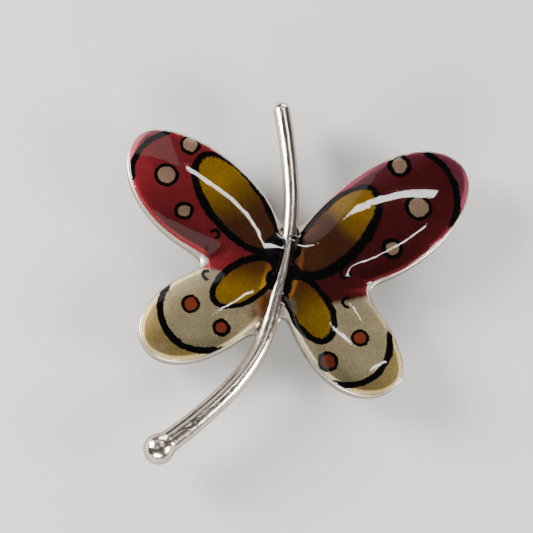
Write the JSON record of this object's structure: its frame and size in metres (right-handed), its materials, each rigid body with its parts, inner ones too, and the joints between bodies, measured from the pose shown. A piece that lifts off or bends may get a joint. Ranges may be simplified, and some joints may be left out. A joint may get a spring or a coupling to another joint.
{
  "type": "butterfly brooch",
  "caption": "Butterfly brooch: cast wings with printed inlays under clear domed resin, a bent rod body with a ball end, and a hinged pin with a turning safety catch.",
  "frame": {"origin": "middle of the footprint, at the bottom of the pin finding", "axes": "+Z is the way the wings face; +Y runs along the body to the butterfly's head end; +X is the viewer's right"},
  "size_m": [0.0512, 0.0574, 0.0088],
  "materials": {
    "plate_metal": "bright plated casting, warm silver",
    "rod_metal": "polished plated casting with fine pits",
    "wing_print": "printed picture in wine red, cream, yellow and black",
    "clear_resin": "clear, glossy, domed",
    "finding_metal": "plated, lightly brushed",
    "pin_metal": "drawn wire",
    "rivet_metal": "plain"
  },
  "bodies": {
    "brooch": {"wing_plate": "plate_metal", "body_rod": "rod_metal", "left_wing_print": "wing_print", "right_wing_print": "wing_print", "left_wing_resin": "clear_resin", "right_wing_resin": "clear_resin", "pin_joint": "finding_metal", "joint_rivet": "rivet_metal", "catch_housing": "finding_metal"},
    "pin": {"pin_stem": "pin_metal"},
    "rotor": {"catch_rotor": "finding_metal"}
  },
  "joints": [
    {"name": "pin_stem_hinge", "type": "hinge", "parent": "brooch", "child": "pin", "pos_m": [-0.01395, 0.00901, 0.0019], "axis": [0, 1, 0], "range_deg": [0, 95]},
    {"name": "catch_rotor_turn", "type": "hinge", "parent": "brooch", "child": "rotor", "pos_m": [0.01105, 0.00901, 0.0019], "axis": [1, 0, 0], "range_deg": [0, 90]}
  ]
}
